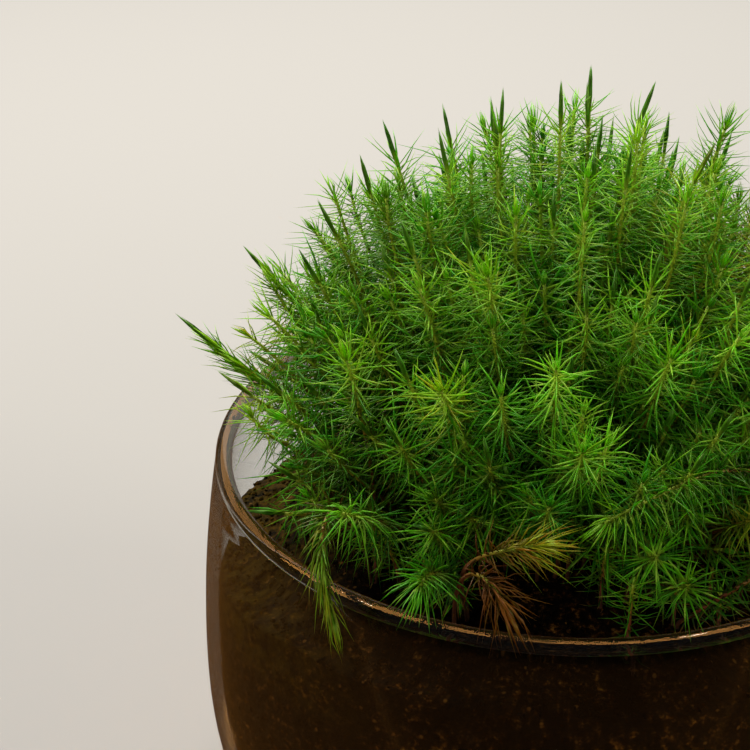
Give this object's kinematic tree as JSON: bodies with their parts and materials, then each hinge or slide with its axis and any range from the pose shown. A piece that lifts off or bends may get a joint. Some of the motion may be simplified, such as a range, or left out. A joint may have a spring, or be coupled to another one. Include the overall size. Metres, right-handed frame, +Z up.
{
  "type": "moss clump",
  "caption": "Dome of leafy haircap moss shoots growing from dark soil in a round, clear glass jar that stands on its flat foot.",
  "frame": {"origin": "middle of the flat foot that the jar stands on", "axes": "+Z up out of the jar's mouth; +Y away from the side that the picture shows, +X to its right"},
  "size_m": [0.1041, 0.1006, 0.1115],
  "materials": {
    "clear_glass": "gloss",
    "potting_soil": "matte",
    "moss_leaf": "matte"
  },
  "bodies": {
    "root": {"glass_jar": "clear_glass", "soil": "potting_soil", "shoot_01": "moss_leaf", "shoot_02": "moss_leaf", "shoot_03": "moss_leaf", "shoot_04": "moss_leaf", "shoot_05": "moss_leaf", "shoot_06": "moss_leaf", "shoot_07": "moss_leaf", "shoot_08": "moss_leaf", "shoot_09": "moss_leaf", "shoot_10": "moss_leaf", "shoot_11": "moss_leaf", "shoot_12": "moss_leaf", "shoot_13": "moss_leaf", "shoot_14": "moss_leaf", "shoot_15": "moss_leaf", "shoot_16": "moss_leaf", "shoot_17": "moss_leaf", "shoot_18": "moss_leaf", "shoot_19": "moss_leaf", "shoot_20": "moss_leaf", "shoot_21": "moss_leaf", "shoot_22": "moss_leaf", "shoot_23": "moss_leaf", "shoot_24": "moss_leaf", "shoot_25": "moss_leaf", "shoot_26": "moss_leaf", "shoot_27": "moss_leaf", "shoot_28": "moss_leaf", "shoot_29": "moss_leaf", "shoot_30": "moss_leaf", "shoot_31": "moss_leaf", "shoot_32": "moss_leaf", "shoot_33": "moss_leaf", "shoot_34": "moss_leaf", "shoot_35": "moss_leaf", "shoot_36": "moss_leaf", "shoot_37": "moss_leaf", "shoot_38": "moss_leaf", "shoot_39": "moss_leaf", "shoot_40": "moss_leaf", "shoot_41": "moss_leaf", "shoot_42": "moss_leaf", "shoot_43": "moss_leaf", "shoot_44": "moss_leaf", "shoot_45": "moss_leaf", "shoot_46": "moss_leaf", "shoot_47": "moss_leaf", "shoot_48": "moss_leaf", "shoot_49": "moss_leaf", "shoot_50": "moss_leaf", "shoot_51": "moss_leaf", "shoot_52": "moss_leaf", "shoot_53": "moss_leaf", "shoot_54": "moss_leaf", "shoot_55": "moss_leaf", "shoot_56": "moss_leaf"}
  },
  "joints": []
}
